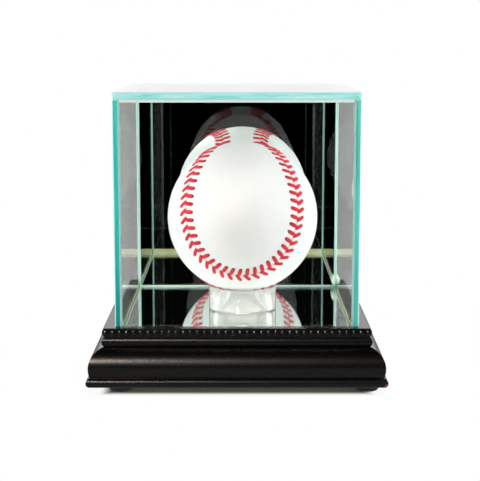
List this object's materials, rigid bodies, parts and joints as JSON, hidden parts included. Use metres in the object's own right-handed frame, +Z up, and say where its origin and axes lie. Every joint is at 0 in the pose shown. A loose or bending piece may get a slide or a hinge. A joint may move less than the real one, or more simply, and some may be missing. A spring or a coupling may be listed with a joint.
{
  "type": "baseball display case",
  "caption": "Small square display case: a lift-off glass cover with a mirror back on a moulded black wooden base with a mirror floor, holding a ball on a clear ring.",
  "frame": {"origin": "on the table under the middle of the wooden base, level with the underside of the feet", "axes": "+Z up, the front faces -Y, the mirror back is on the +Y side, +X to the right seen from the front"},
  "size_m": [0.1354, 0.1354, 0.1347],
  "materials": {
    "lacquered_wood": "black satin lacquer on a wooden moulding, raw inside the rim",
    "hardboard": "brown pressed board",
    "steel_fixings": "plain steel",
    "tape": "double-sided foam tape",
    "mirror_glass": "clear glass with ground edges",
    "mirror_coating": "silver under grey backing paint",
    "rubber": "matt black rubber",
    "clear_glass": "clear float glass, green at its ground edges",
    "adhesive": "clear cured adhesive",
    "acrylic": "clear polished acrylic",
    "leather": "smooth white leather",
    "thread": "red waxed thread",
    "wool": "wound wool yarn",
    "cork_rubber": "cork and rubber"
  },
  "bodies": {
    "base": {"front_rail": "lacquered_wood", "back_rail": "lacquered_wood", "left_rail": "lacquered_wood", "right_rail": "lacquered_wood", "floor_board": "hardboard", "corner_vnails": "steel_fixings", "board_brads": "steel_fixings", "mirror_tape": "tape", "floor_mirror_glass": "mirror_glass", "floor_mirror_coating": "mirror_coating", "front_left_foot": "rubber", "front_right_foot": "rubber", "back_left_foot": "rubber", "back_right_foot": "rubber", "ball_stand": "acrylic"},
    "cover": {"front_pane": "clear_glass", "left_pane": "clear_glass", "right_pane": "clear_glass", "top_pane": "clear_glass", "back_mirror_glass": "mirror_glass", "back_mirror_coating": "mirror_coating", "front_left_bond": "adhesive", "front_right_bond": "adhesive", "back_left_bond": "adhesive", "back_right_bond": "adhesive", "top_bond": "adhesive"},
    "ball": {"ball_cover_panel_a": "leather", "ball_cover_panel_b": "leather", "ball_stitches": "thread", "ball_windings": "wool", "ball_pill": "cork_rubber"}
  },
  "joints": [
    {"name": "cover_lift", "type": "slide", "parent": "base", "child": "cover", "axis": [0, 0, 1], "range_m": [0, 0.1]},
    {"name": "ball_turn", "type": "hinge", "parent": "base", "child": "ball", "pos_m": [0.0026, 0, 0.07174], "axis": [0, 0, 1], "continuous": true}
  ]
}
